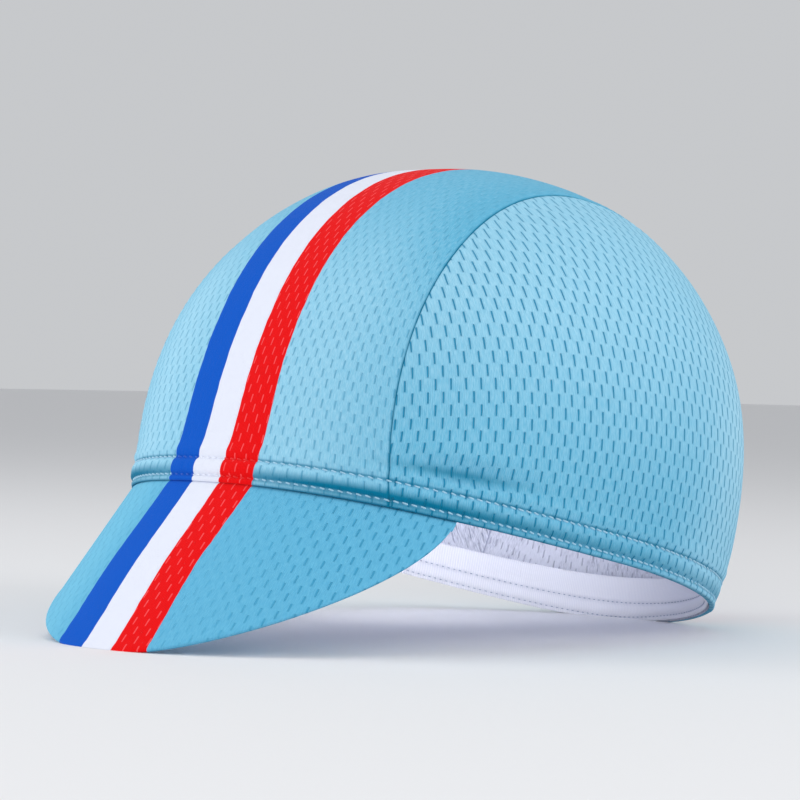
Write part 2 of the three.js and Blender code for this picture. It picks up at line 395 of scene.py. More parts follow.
def mesh_object(name, points, faces, materials, face_slots, attributes, merge=0.0):
    mesh = bpy.data.meshes.new(name)
    mesh.from_pydata(points.tolist(), [], faces)
    for material in materials:
        mesh.materials.append(material)
    mesh.polygons.foreach_set("material_index", np.asarray(face_slots, np.int32))
    mesh.polygons.foreach_set("use_smooth", np.ones(len(faces), bool))
    for key, values in attributes.items():
        kind, field = ("FLOAT_VECTOR", "vector") if values.ndim == 2 else ("FLOAT", "value")
        layer = mesh.attributes.new(key, kind, "POINT")
        layer.data.foreach_set(field, values.astype(np.float32).ravel())
    if merge:
        work = bmesh.new()
        work.from_mesh(mesh)
        bmesh.ops.remove_doubles(work, verts=work.verts, dist=merge)
        bmesh.ops.dissolve_degenerate(work, edges=work.edges, dist=merge)
        work.to_mesh(mesh)
        work.free()
    mesh.set_sharp_from_angle(angle=math.radians(SHARP_ANGLE))
    piece = bpy.data.objects.new(name, mesh)
    bpy.context.scene.collection.objects.link(piece)
    return piece


def cloth_shell(name, outer, inner, materials, weave, looks, ring=False):
    """A closed piece of cloth between two grids, outside first, with its looks by vertex."""
    rows, columns = outer.shape[:2]
    count = rows * columns
    index = np.arange(count).reshape(rows, columns)
    front = grid_faces(rows, columns, 0, False, ring)
    back = grid_faces(rows, columns, count, True, ring)
    first, last = (np.append(row, row[0]) if ring else row for row in (index[0], index[-1]))
    walls = [join_edge(first, first + count), join_edge(last + count, last)]
    if not ring:
        walls.append(join_edge(index[:, 0] + count, index[:, 0]))
        walls.append(join_edge(index[:, -1], index[:, -1] + count))
    faces = np.vstack([front, back] + walls)
    slots = np.zeros(len(faces), int)
    slots[len(front):len(front) + len(back)] = 1
    points = laid_down(np.vstack([outer.reshape(-1, 3), inner.reshape(-1, 3)]))
    doubled = {key: np.concatenate([values.ravel()] * 2) for key, values in looks.items()}
    doubled["weave"] = np.vstack([weave.reshape(-1, 3)] * 2)
    return mesh_object(name, points, faces.tolist(), materials, slots, doubled, MERGED)


# Relief of the cloth

def ripple(along, seed):
    """A slow, uneven wave between -1 and 1."""
    total = sum(size * np.sin(along * pace + turn * seed) for size, pace, turn in WAVES)
    return total / sum(size for size, _, _ in WAVES)


def hem_relief(height, rim_run, plan):
    """How far the hem's cloth stands out at a height above the rim, rim_run along it."""
    low, high = HEM["lower_stitch"], HEM["height"]
    tube = np.clip((height - low) / (high - low), 0, 1)
    fuller = TUBE["fullness"] - TUBE["fuller_in_front"] * np.sin(plan)
    uneven = 1 - TUBE["uneven"] + TUBE["uneven"] * ripple(rim_run / TUBE["wave"], 1.0)
    puff = HEM["puff"] * fuller * uneven * np.sin(math.pi * tube) ** TUBE["roundness"]
    lip = HEM["lip"] * np.sin(math.pi * np.clip(height / low, 0, 1)) ** LIP_ROUNDNESS
    pucker = 0.5 + 0.5 * np.cos(2 * math.pi * rim_run / STITCH["pitch"])
    gather = GATHER["depth"] * ripple(rim_run * GATHER["pace"], 4.0) * np.sin(math.pi * tube)
    near_row = hill(height, low, STITCHED["width"]) + hill(height, high, STITCHED["width"])
    sunk = (STITCHED["sunk"] + STITCHED["pucker"] * pucker) * near_row
    return puff + lip + gather - sunk + line(height - high, *ABOVE_HEM)


def hem_painted_shade(height, rim_run, plan):
    """How far in painted shade the hem's cloth lies, from 0 to 1: most at the peak's corners."""
    low, high = HEM["lower_stitch"], HEM["height"]
    corner = hill(np.abs(plan - FRONT), CORNER["from_front"], CORNER["span"])
    broken = HEM_SHADE["even"] + HEM_SHADE["uneven"] * ripple(rim_run * HEM_SHADE["pace"], 2.0)
    lines = line(height - high, *HEM_LINES["upper"]) + line(height - low, *HEM_LINES["lower"])
    under = smoothstep(height, high - HEM_SHADE["under_top"], low + HEM_SHADE["under_dark"])
    under *= smoothstep(height - low, *HEM_SHADE["under_foot"])
    under *= HEM_SHADE["under"] + HEM_SHADE["under_corner"] * corner
    edge = ramp(height, HEM_SHADE["edge"], HEM_SHADE["edge_height"], 0)
    fold = corner * ramp(height - low, HEM_SHADE["fold"], *HEM_SHADE["fold_from"])
    return np.clip(broken * lines + under + edge + fold, 0, 1)


def hem_depth(height):
    """The hem's thickness, which thins out at the folded edge."""
    return lerp(HEM["edge_wall"], HEM["wall"], smoothstep(height, 0, HEM["thinned"]))


def cloth_depth(height):
    above = smoothstep(height, HEM["height"], HEM["height"] + HEM["taper"])
    return lerp(hem_depth(height), CROWN["fabric"], above)


def soft_folds(point):
    """A slow unevenness of the whole crown."""
    x, y, z = point[..., 0], point[..., 1], point[..., 2]
    across = np.sin(x / FOLDS["x"] + FOLDS["z_swing"] * np.sin(z / FOLDS["z_bend"]))
    along = np.sin(y / FOLDS["y"] + FOLDS["x_swing"] * np.sin(x / FOLDS["x_bend"] + 1))
    return FOLDS["depth"] * (across * along * np.sin(z / FOLDS["z"] + 2))


def crease_place(plan, height):
    """How near the crease's middle a place is, and its height above the crease."""
    turn = np.degrees(plan) - CREASE["plan"]
    span = np.exp(-2 * (turn / CREASE["half_plan"]) ** 2)
    return span, height - CREASE["height"] - CREASE["slope"] * turn


def crease_relief(plan, height):
    """The sharp fold over the hem of the side panel, with soft forms above and below it."""
    span, rise = crease_place(plan, height)
    return span * CREASE["depth"] * sum(line(rise, *form) for form in CREASE_FORMS.values())


# Painted shade in the crease's fold
def crease_painted_shade(plan, height):
    span, rise = crease_place(plan, height)
    return span * line(rise, *CREASE_SHADE)


def seam_relief(distance, run, depth):
    pucker = 0.5 + 0.5 * np.cos(2 * math.pi * run / SEAM["pitch"])
    shoulder = SEAM["shoulder"] + SEAM["pucker"] * pucker
    beside = hill(distance, SEAM["beside"], SEAM["shoulder_width"])
    return shoulder * beside - depth * hill(distance, 0, SEAM["groove"])


# Painted shade in the seam's groove, uneven along it
def seam_painted_shade(distance, run):
    uneven = SEAM["dark"] + SEAM["uneven"] * ripple(run * SEAM["pace"], 3.0)
    return uneven * hill(distance, 0, SEAM["dark_width"])


def arc_lengths(points, axis):
    steps = np.linalg.norm(np.diff(points, axis=axis), axis=-1)
    first = np.zeros_like(np.take(steps, [0], axis=axis))
    return np.concatenate([first, np.cumsum(steps, axis=axis)], axis=axis)


def panel_shell(name, towards, seam, weave, print_place, painted_light, materials, flip=False):
    """A crown panel. The seam is given by distance to it, run along it and depth of its groove."""
    height = height_of(towards)
    base = crown_point(towards)
    plan = plan_of(towards)
    rim_run = HEM_RADIUS * plan
    distance, seam_run, seam_depth = seam
    relief = hem_relief(height, rim_run, plan) + seam_relief(distance, seam_run, seam_depth)
    relief += soft_folds(base) + crease_relief(plan, height)
    # Painted shade in the hem, the seam and the crease
    painted_shade = hem_painted_shade(height, rim_run, plan) + seam_painted_shade(distance, seam_run)
    painted_shade += crease_painted_shade(plan, height)
    outer = crown_point(towards, -relief)
    inner = crown_point(towards, cloth_depth(height) - soft_folds(base))
    if flip:
        outer, inner = outer * (-1, 1, 1), inner * (-1, 1, 1)
        outer, inner, weave, print_place, painted_shade, painted_light = (
            grid[:, ::-1] for grid in (outer, inner, weave, print_place, painted_shade, painted_light)
        )
    looks = {"print": print_place, "painted_shade": np.clip(painted_shade, 0, 1), "painted_light": painted_light}
    return cloth_shell(name, outer, inner, materials, weave, looks)


# The panels

def stations_over_top(share):
    """Angles round the X axis, front rim to back rim, one row each, for columns at these shares."""
    samples = np.linspace(0, HEM_TURN, SAMPLES["hem_turn"])
    ends = []
    for start, sign in ((0, 1), (180, -1)):
        around = (start + sign * samples)[:, None] + 0 * share[None, :]
        height = height_of(direction_at_x(around, share * (seam_half_width(around) - SEAM_GAP / 2)))
        ends.append(np.stack([np.interp(HEM_ROWS, height[:, c], around[:, c]) for c in range(len(share))], 1))
    front, back = ends[0], ends[1][::-1]
    middle = np.linspace(0, 1, ROWS["over_top"] + 2)[1:-1, None]
    return np.vstack([front, lerp(front[-1], back[0], middle), back])


def stripe_centre(around):
    wander = sum(shift * hill(around, middle, span) for middle, span, shift in WANDER)
    return STRIPE["shift"] + STRIPE["drift"] * np.sin(np.radians(around)) + wander


def evened(place):
    """The distance from the stripe's middle as if its three bands were equally wide."""
    half = STRIPE["width"] / 2
    red = (place - half) * STRIPE["width"] / STRIPE["red"] + half
    blue = (place + half) * STRIPE["width"] / STRIPE["blue"] - half
    return np.where(place > half, red, np.where(place < -half, blue, place))


def crowded(count, finest):
    """Shares from 0 to 1, finest apart at the end."""
    even = np.linspace(0, 1, count)
    return even + (1 - finest) * np.sin(math.pi * even) / math.pi * even


def centre_panel(materials):
    half = crowded(COLUMNS["centre"], FINEST["centre"])
    share = np.concatenate([-half[:0:-1], half])
    around = stations_over_top(share)
    x = share * (seam_half_width(around) - SEAM_GAP / 2)
    towards = direction_at_x(around, x)
    base = crown_point(towards)
    run = arc_lengths(base, 0)
    over_top = np.sin(np.radians(around))
    across = arc_lengths(base, 1)
    across -= across[:, [len(share) // 2]]
    across *= 1 + PANEL_NARROWING * over_top
    distance = (1 - np.abs(share)) * seam_half_width(around)
    look = CENTRE_LOOK
    weave = np.stack([across, run, look["slits"] + ramp(over_top, *look["slits_up"])], -1)
    print_place = evened(x - stripe_centre(around))
    # Painted light and sheen: paler towards the wearer's right, less pale high over the top and towards the
    # seams
    painted_light = look["painted_light"] + ramp(over_top, *look["light_up"]) + ramp(np.abs(x), *look["light_beside"])
    painted_light += ramp(-x, *look["light_right"])
    seam = (distance, run, SEAM_DEPTH["centre"])
    return panel_shell("centre_panel", towards, seam, weave, print_place, painted_light, materials)


def side_panel(name, side, materials):
    around = stations_over_top(np.array([1.0]))[:, 0]
    seam = direction_at_x(around, seam_half_width(around) + SEAM_GAP / 2)
    seam_plan, seam_elevation = plan_of(seam), np.arcsin(np.clip(seam[:, 2], 0, 1))
    seam_height = np.maximum(height_of(seam), 0)
    rim_plan = lerp(seam_plan[0], seam_plan[-1], around / 180)
    shares = np.arange(len(HEM_ROWS))[:, None] / len(HEM_ROWS)
    heights = np.minimum(HEM_ROWS[:, None], seam_height * shares)
    low = np.minimum(elevation_at_height(seam_plan + 0 * heights, heights), seam_elevation)
    upper = crowded(COLUMNS["side"], FINEST["side"])[1:, None]
    elevation = np.vstack([low, lerp(low[-1], seam_elevation, upper)])
    climb = np.divide(elevation, seam_elevation, out=np.ones_like(elevation), where=seam_elevation > 1e-6)
    towards = direction(lerp(rim_plan, seam_plan, climb), elevation)
    height = height_of(towards)
    edge = crown_point(seam)
    distance = np.linalg.norm(crown_point(towards) - edge[None], axis=-1)
    seam_run = arc_lengths(edge, 0)[None] + 0 * distance
    look = SIDE_LOOK
    weave = np.stack([*side_weave(towards, height), look["slits"] + ramp(height, *look["slits_up"])], -1)
    off_print = np.full(distance.shape, OFF_PRINT)
    # Painted light and sheen: paler higher up, and towards the back low down
    painted_light = ramp(height, *look["light_up"])
    painted_light += ramp(towards[..., 1], *look["light_back"]) * ramp(height, *look["light_low"])
    place = (distance, seam_run, SEAM_DEPTH["side"])
    return panel_shell(name, towards, place, weave, off_print, painted_light, materials, side < 0)


def side_weave(towards, height):
    """The run of the side panel's cloth across its columns and along them."""
    level, climb = level_run(plan_of(towards), height), wall_run(height)
    across = level + climb * (GRAIN["lean"] + GRAIN["narrowing"] * (level - GRAIN["fixed"]))
    start = GRAIN["growth_from"]
    grown = GRAIN["row_growth"] * (climb - start * (1 - np.exp(-climb / start)))
    return across, climb - grown + GRAIN["bend"] * level ** 2 - GRAIN["fall"] * level


def wall_run(height):
    """Length up the cloth from the rim, at the middle of the side."""
    elevation = np.linspace(0, math.pi / 2, SAMPLES["wall"])
    section = direction(0 * elevation, elevation)
    return np.interp(height, height_of(section), arc_lengths(crown_point(section), 0))


def level_run(plan, height):
    """Length round the cloth from the middle of the side, at one height, from a table by whole degrees."""
    plans = np.radians(np.linspace(-90, 90, 181))
    levels = np.linspace(0, CROWN["height"] * HIGHEST_LEVEL, SAMPLES["levels"])
    grid = direction(plans[None] + 0 * levels[:, None], elevation_at_height(plans[None], levels[:, None]))
    runs = arc_lengths(crown_point(grid), 1)
    runs -= runs[:, [len(plans) // 2]]
    row = np.clip(height / levels[1], 0, len(levels) - 1.001)
    column = np.clip(np.degrees(plan) + 90, 0, len(plans) - 1.001)
    r, c = row.astype(int), column.astype(int)
    lower = lerp(runs[r, c], runs[r, c + 1], column - c)
    higher = lerp(runs[r + 1, c], runs[r + 1, c + 1], column - c)
    return lerp(lower, higher, row - r)


# The sweatband

def band_sag(height, plan):
    """How far the band hangs below its seat, on the wearer's right."""
    upward = 1 - smoothstep(height, BAND["lift"], BAND["lift"] + BAND["sagging"] * BAND["height"])
    return BAND["overhang"] * upward * smoothstep(np.cos(plan), *BAND["sag_from"])


def sweatband(material):
    plan = np.linspace(0, 2 * math.pi, COLUMNS["band"], endpoint=False)[None]
    rows = np.linspace(0, 1, ROWS["band"])[:, None]
    height = BAND["lift"] + BAND["height"] * rows
    elevation = elevation_at_height(plan, height)
    towards = direction(plan + 0 * elevation, elevation)
    depth = hem_depth(height) + SEAT_GAP
    rounded = rounding(BAND["wall"], np.minimum(rows, 1 - rows) * BAND["height"], BAND["edge"])
    near_row = sum(hill(height, BAND[row], BAND_DENT["width"]) for row in ("stitch", "edge_stitch"))
    slack = BAND_SLACK["depth"] * ripple(plan * BAND_SLACK["pace"], 2.0)
    slack = slack * smoothstep(rows, BAND_SLACK["from"], 1)
    outer = crown_point(towards, depth + rounded)
    inner = crown_point(towards, depth + BAND["wall"] - rounded - BAND_DENT["depth"] * near_row + slack)
    sag = band_sag(height, plan)
    outer[..., 2] -= sag
    inner[..., 2] -= sag
    run = BAND_RADIUS * plan + 0 * elevation
    weave = np.stack([run, height + 0 * run, 0 * run], -1)
    # Painted shade along the band's stitch rows
    looks = {"painted_shade": near_row * (BAND_DENT["dark"] + BAND_DENT["uneven"] * ripple(run, 5.0))}
    return cloth_shell("inner_sweatband", outer, inner, [material, material], weave, looks, ring=True)


# The peak

def peak(top_material, under_material):
    turn = np.sin(math.pi * (np.linspace(0, 1, COLUMNS["peak"]) - 0.5)) * PEAK["span"]
    plan = np.radians(turn - 90)[None]
    root = peak_root(plan, 0)
    x = root[..., 0]
    reach = peak_reach(x)
    near = PEAK["edge"] * (1 - np.cos(np.linspace(0, math.pi / 2, ROWS["peak_edge"])))
    steps = np.linspace(0, 1, ROWS["peak"])[1:, None]
    from_edge = np.vstack([near[:, None] + 0 * reach, lerp(PEAK["edge"], reach, steps)])
    from_edge = np.minimum(from_edge, reach)
    from_root = reach - from_edge
    rounded = rounding(PEAK["wall"], from_edge, PEAK["edge"])
    drawn_in = line(from_root, *PEAK_FORMS["root"])
    bead = line(from_edge, *PEAK_FORMS["bead"])
    spread = 0 * from_edge
    outer = peak_point(plan + spread, from_root, rounded + drawn_in - bead)
    inner = peak_point(plan + spread, from_root, PEAK["wall"] - rounded + bead * PEAK_FORMS["bead_below"])
    across = arc_lengths(root, 1)
    across = across - across[:, [across.shape[1] // 2]] + spread
    slits = PEAK_LOOK["slits"] + ramp(np.abs(x), *PEAK_LOOK["slits_beside"])
    weave = np.stack([across, -from_root, slits + spread], -1)
    drift = STRIPE["peak_drift"] * (1 - smoothstep(from_root / PEAK["reach"], STRIPE["drift_from"], 1))
    at_hem = evened(x - STRIPE["shift"])
    below = np.clip(from_root / STRIPE["peak_blend"], 0, 1)
    looks = {
        "print": lerp(at_hem, x - STRIPE["peak_shift"] - drift, below),
        # Painted shade at the root, where the peak meets the crown
        "painted_shade": ramp(from_root, *PEAK_LOOK["root"]),
        # Painted light and sheen: the peak is paler towards the wearer's right
        "painted_light": ramp(-x, *PEAK_LOOK["light_right"]) + spread,
    }
    return cloth_shell("covered_peak", outer, inner, [top_material, under_material], weave, looks)


# Stitches

def stitch_run(name, points, outward, print_place, material, size):
    """One small arched thread for each pitch along a closed run of points."""
    run = arc_lengths(np.vstack([points, points[:1]]), 0)
    total = run[-1]
    count = int(round(total / size["pitch"]))
    centres = (np.arange(count) + 0.5) * total / count
    rings, sides = np.linspace(-1, 1, THREAD["rings"]), THREAD["sides"]
    at = centres[:, None] + rings[None] * size["length"] / 2

    def sample(values):
        looped = np.concatenate([values, values[:1]])
        return np.interp(at.ravel() % total, run, looped).reshape(at.shape)

    middle = np.stack([sample(points[:, axis]) for axis in range(3)], -1)
    out = np.stack([sample(outward[:, axis]) for axis in range(3)], -1)
    ahead = np.gradient(middle, axis=1)
    ahead /= np.linalg.norm(ahead, axis=-1, keepdims=True)
    beside = np.cross(ahead, out)
    rise = size["radius"] * (THREAD["rise"] - THREAD["ends_sink"] * rings ** 4)
    slant = size["slant"] * rings
    middle = middle + out * rise[None, :, None] + beside * slant[None, :, None]
    thick = size["radius"] * np.sqrt(np.clip(THREAD["blunt"] - rings ** 6, 0, 1))
    angle = np.linspace(0, 2 * math.pi, sides, endpoint=False)[:, None]
    ring = np.cos(angle) * beside[:, :, None] + np.sin(angle) * out[:, :, None]
    tube = middle[:, :, None] + ring * thick[None, :, None, None]
    per_thread = len(rings) * sides
    starts = range(0, count * per_thread, per_thread)
    quads = grid_faces(len(rings), sides, 0, False, True)[None] + np.array(starts)[:, None, None]
    caps = [list(range(sides))[::-1], list(range(per_thread - sides, per_thread))]
    ends = [[corner + start for corner in cap] for start in starts for cap in caps]
    faces = quads.reshape(-1, 4).tolist() + ends
    colour = np.repeat(sample(print_place)[:, :, None], sides, 2)
    points = laid_down(tube.reshape(-1, 3))
    return mesh_object(name, points, faces, [material], [0] * len(faces), {"print": colour.ravel()})


def hem_stitches(name, height, material):
    plan = np.linspace(-math.pi, math.pi, COLUMNS["stitches"], endpoint=False)
    towards = direction(plan, elevation_at_height(plan, height))
    above = direction(plan, elevation_at_height(plan, height + JUST_ABOVE))
    base = crown_point(towards)
    relief = hem_relief(np.full(len(plan), height), HEM_RADIUS * plan, plan) + soft_folds(base)
    points = crown_point(towards, -relief - OUT_OF_HEM)
    ahead = np.roll(points, -1, 0) - np.roll(points, 1, 0)
    outward = np.cross(ahead, crown_point(above) - base)
    outward /= np.linalg.norm(outward, axis=1, keepdims=True)
    around = np.degrees(np.arctan2(towards[:, 2], -towards[:, 1]))
    on_centre = np.abs(base[:, 0]) < RIM["half_width"] * SEAM_SHARES[0]
    place = np.where(on_centre, evened(base[:, 0] - stripe_centre(around)), OFF_PRINT)
    return stitch_run(name, points, outward, place, material, STITCH)


def band_stitches(name, height, material):
    plan = np.linspace(-math.pi, math.pi, COLUMNS["stitches"], endpoint=False)
    towards = direction(plan, elevation_at_height(plan, height))
    points = crown_point(towards, hem_depth(height) + SEAT_GAP + BAND["wall"] - INTO_BAND)
    points[:, 2] -= band_sag(height, plan)
    inward = -towards * (1, 1, 0)
    inward /= np.linalg.norm(inward, axis=1, keepdims=True)
    return stitch_run(name, points, inward, np.full(len(plan), OFF_PRINT), material, BAND_STITCH)


# Materials

class Nodes:
    """Short calls for a material's nodes."""

    def __init__(self, name, roughness):
        self.material = bpy.data.materials.new(name)
        self.material.use_nodes = True
        self.tree = self.material.node_tree
        self.shader = self.tree.nodes["Principled BSDF"]
        self.shader.inputs["Roughness"].default_value = roughness

    def add(self, kind, inputs=(), **settings):
        node = self.tree.nodes.new(kind)
        for key, value in settings.items():
            setattr(node, key, value)
        for place, value in enumerate(inputs):
            self.feed(node.inputs[place], value)
        return node

    def feed(self, socket, value):
        if isinstance(value, bpy.types.NodeSocket):
            self.tree.links.new(value, socket)
        else:
            socket.default_value = value

    def colour(self, value):
        self.feed(self.shader.inputs["Base Color"], value)

    def math(self, operation, *inputs):
        return self.add("ShaderNodeMath", inputs, operation=operation).outputs[0]

    def product(self, *inputs):
        return self.math("MULTIPLY", *inputs)

    def vector(self, *inputs):
        return self.add("ShaderNodeCombineXYZ", inputs).outputs[0]

    def attribute(self, name):
        return self.add("ShaderNodeAttribute", attribute_name=name)

    def step(self, value, low, high):
        node = self.add("ShaderNodeMapRange", interpolation_type="SMOOTHSTEP")
        for key, given in (("Value", value), ("From Min", low), ("From Max", high)):
            self.feed(node.inputs[key], given)
        return node.outputs["Result"]

    def mix(self, share, a, b):
        node = self.add("ShaderNodeMix", data_type="RGBA")
        self.feed(node.inputs[0], share)
        self.feed(node.inputs[6], a)
        self.feed(node.inputs[7], b)
        return node.outputs[2]

    def noise(self, vector, scale, detail):
        node = self.add("ShaderNodeTexNoise")
        self.feed(node.inputs["Vector"], vector)
        node.inputs["Scale"].default_value = scale
        node.inputs["Detail"].default_value = detail
        return node.outputs["Fac"]

    def bump(self, height, strength, distance):
        node = self.add("ShaderNodeBump")
        node.inputs["Strength"].default_value = strength
        node.inputs["Distance"].default_value = distance
        self.feed(node.inputs["Height"], height)
        self.feed(self.shader.inputs["Normal"], node.outputs[0])


def srgb(red, green, blue):
    linear = [
        value / 255 / 12.92 if value <= 10 else ((value / 255 + 0.055) / 1.055) ** 2.4
        for value in (red, green, blue)
    ]
    return (*linear, 1.0)


COLOUR = {
    # Each pair is the cloth and its pale grain, which also serves as painted light; the peak's pair is the
    # crown's cloth painted darker, as shade
    "sky": (srgb(98, 178, 211), srgb(168, 217, 238)), "peak": (srgb(92, 173, 210), srgb(124, 200, 228)),
    # The deep teal here is the colour of painted shade in seams, creases and stitch rows
    "slit": srgb(12, 134, 178), "painted_dark": srgb(4, 118, 152), "blue": srgb(0, 86, 194),
    "white": srgb(226, 230, 243), "red": srgb(230, 6, 10), "red_slit": srgb(250, 100, 104),
    "inside": srgb(204, 207, 222), "inside_slit": srgb(116, 122, 150), "band": srgb(229, 230, 239),
    # The band thread's colour is also the colour of the band's painted shade
    "band_shade": srgb(208, 210, 228), "band_thread_and_shade": srgb(150, 154, 178), "thread": srgb(168, 208, 228),
}

# Cloth: shares of its pale grain and of the painted shade round each slit, and heights of its parts for the
# bump
MESH = {"sheen": 0.05, "specular": 0.04, "grain": 0.36, "grain_range": (0.3, 0.72), "dimple_shade": 0.26}
MESH_BUMP = {"slit": -0.28, "weak_slit": 0.25, "printed": 0.85, "rib": 0.03, "grain": 0.12}
INSIDE = {
    "slits": 0.42, "painted_dark": 0.7, "streak": 0.55, "least_streak": 0.15, "streak_range": (0.35, 0.7),
    "cloud_pace": 0.11, "cloud_along": 0.6, "cloud_range": (0.42, 0.62), "slit": -0.25, "rib": 0.02,
}
COTTON = {"furrow": 0.45, "furrow_range": (0.2, -0.9), "painted_dark": 0.8, "rib": 0.05, "grain": 0.08}
GRAIN_PACE = (3.0, 0.5)
FIBRE = {"pace": 4000.0, "share": 0.3}
RIB_PITCH = {"mesh": 0.55, "cotton": 0.8}
ROUGHNESS = {"mesh": 0.8, "inside": 0.85, "cotton": 0.9, "thread": 0.55}
CLOTH_BUMP, COTTON_BUMP, THREAD_BUMP = 0.9, 0.8, 0.3
# Rows of slits are counted from far below, so that no row has a negative number
EVEN_ROW = 1000.0


def slit_mask(nodes, across, along):
    """1 in the slits of the mesh, short upright slots in staggered rows, and a soft ring round each slit,
    used as painted shade.
    """
    place = nodes.math("DIVIDE", along, SLIT["along"])
    row = nodes.math("FLOOR", place)
    odd = nodes.product(nodes.math("MODULO", nodes.math("ADD", row, EVEN_ROW), 2.0), 0.5)
    column = nodes.math("ADD", nodes.math("DIVIDE", across, SLIT["across"]), odd)
    beside = nodes.product(nodes.math("SUBTRACT", nodes.math("FRACT", column), 0.5), SLIT["across"])
    upward = nodes.product(nodes.math("SUBTRACT", nodes.math("FRACT", place), 0.5), SLIT["along"])
    straight = (SLIT["length"] - SLIT["width"]) / 2
    beyond = nodes.math("MAXIMUM", nodes.math("SUBTRACT", nodes.math("ABSOLUTE", upward), straight), 0.0)
    square = nodes.math("MULTIPLY_ADD", beside, beside, nodes.product(beyond, beyond))
    away = nodes.math("SUBTRACT", nodes.math("SQRT", square), nodes.product(upward, SLIT["taper"]))
    mask = nodes.step(away, *(SLIT["width"] * share for share in SLIT["edge"]))
    return mask, nodes.step(away, SLIT["dimple_shade"], 0.0)


def weave_parts(nodes):
    split = nodes.add("ShaderNodeSeparateXYZ", [nodes.attribute("weave").outputs["Vector"]])
    return split.outputs[0], split.outputs[1], split.outputs[2]


def shaded(nodes, colour, share, painted_dark):
    """Painted shade: the colour sinks towards a dark colour in seams, creases, stitch rows and under the
    hem's rows, where shade falls.
    """
    painted_shade = nodes.attribute("painted_shade").outputs["Fac"]
    return nodes.mix(nodes.product(painted_shade, share), colour, painted_dark)


def rib_height(nodes, across, along, pitch):
    """The even wave of the ribs and an uneven grain that is drawn out along them."""
    wave = nodes.math("SINE", nodes.product(across, 2 * math.pi / pitch))
    drawn_out = nodes.vector(nodes.product(across, GRAIN_PACE[0]), nodes.product(along, GRAIN_PACE[1]), 0.0)
    return wave, nodes.noise(drawn_out, 1.0, 3.0)


def mesh_cloth(name, printed, tones):
    nodes = Nodes(name, ROUGHNESS["mesh"])
    across, along, strength = weave_parts(nodes)
    mask, dimple_shade = slit_mask(nodes, across, along)
    wave, grain = rib_height(nodes, across, along, RIB_PITCH["mesh"])
    # The cloth turns pale with its grain and with the painted light and sheen given by vertex
    painted_light = nodes.attribute("painted_light").outputs["Fac"]
    pale = nodes.math("MULTIPLY_ADD", nodes.step(grain, *MESH["grain_range"]), MESH["grain"], painted_light)
    shade = nodes.mix(nodes.math("MAXIMUM", pale, 0.0), *tones)
    # Painted shade in a soft ring round each slit
    sunk = nodes.product(nodes.product(dimple_shade, strength), MESH["dimple_shade"])
    slitted = nodes.mix(sunk, shade, COLOUR["slit"])
    slitted = nodes.mix(nodes.product(mask, strength), slitted, COLOUR["slit"])
    colour = shaded(nodes, slitted, 1.0, COLOUR["painted_dark"])
    depth = nodes.product(mask, nodes.math("ADD", strength, MESH_BUMP["weak_slit"]))
    if printed:
        colour, covered = stripe_colour(nodes, colour, mask, across, along)
        open_share = nodes.math("SUBTRACT", 1.0, nodes.product(covered, MESH_BUMP["printed"]))
        depth = nodes.product(depth, open_share)
    nodes.colour(colour)
    ribs = nodes.math("MULTIPLY_ADD", wave, MESH_BUMP["rib"], nodes.product(grain, MESH_BUMP["grain"]))
    nodes.bump(nodes.math("MULTIPLY_ADD", depth, MESH_BUMP["slit"], ribs), CLOTH_BUMP, METRES)
    nodes.shader.inputs["Sheen Weight"].default_value = MESH["sheen"]
    nodes.shader.inputs["Specular IOR Level"].default_value = MESH["specular"]
    return nodes.material


def stripe_colour(nodes, cloth, mask, across, along):
    """The printed stripe over the cloth, and how much of the cloth it covers."""
    place = nodes.attribute("print").outputs["Fac"]
    run = nodes.vector(nodes.product(across, STRIPE["waver_across"]), along, 0.0)
    noise = nodes.noise(run, STRIPE["waver_pace"], 2.0)
    waver = nodes.product(nodes.math("SUBTRACT", noise, 0.5), STRIPE["waver"])
    place = nodes.math("ADD", place, waver)
    width, soft = STRIPE["width"], STRIPE["soft"]
    edges = [nodes.step(place, edge * width - soft, edge * width + soft) for edge in (-1.5, -0.5, 0.5, 1.5)]
    red = nodes.mix(nodes.product(mask, STRIPE["red_slits"]), COLOUR["red"], COLOUR["red_slit"])
    colour = cloth
    for edge, beyond in zip(edges, (COLOUR["blue"], COLOUR["white"], red, cloth)):
        colour = nodes.mix(edge, colour, beyond)
    return colour, nodes.math("SUBTRACT", edges[0], edges[3])


def plain_mesh(name, light, dark):
    """The cloth's inner side, in cloudy streaks."""
    nodes = Nodes(name, ROUGHNESS["inside"])
    across, along, _ = weave_parts(nodes)
    mask, _ = slit_mask(nodes, across, along)
    wave, grain = rib_height(nodes, across, along, RIB_PITCH["mesh"])
    slow = nodes.vector(across, nodes.product(along, INSIDE["cloud_along"]), 0.0)
    clouds = nodes.step(nodes.noise(slow, INSIDE["cloud_pace"], 1.0), *INSIDE["cloud_range"])
    cloudy = nodes.math("MULTIPLY_ADD", clouds, INSIDE["streak"], INSIDE["least_streak"])
    shade = nodes.mix(nodes.product(nodes.step(grain, *INSIDE["streak_range"]), cloudy), light, dark)
    colour = nodes.mix(nodes.product(mask, INSIDE["slits"]), shade, dark)
    # Painted shade on the inner side too, in the same places
    nodes.colour(shaded(nodes, colour, INSIDE["painted_dark"], dark))
    ribs = nodes.product(wave, INSIDE["rib"])
    nodes.bump(nodes.math("ADD", nodes.product(mask, INSIDE["slit"]), ribs), CLOTH_BUMP, METRES)
    return nodes.material


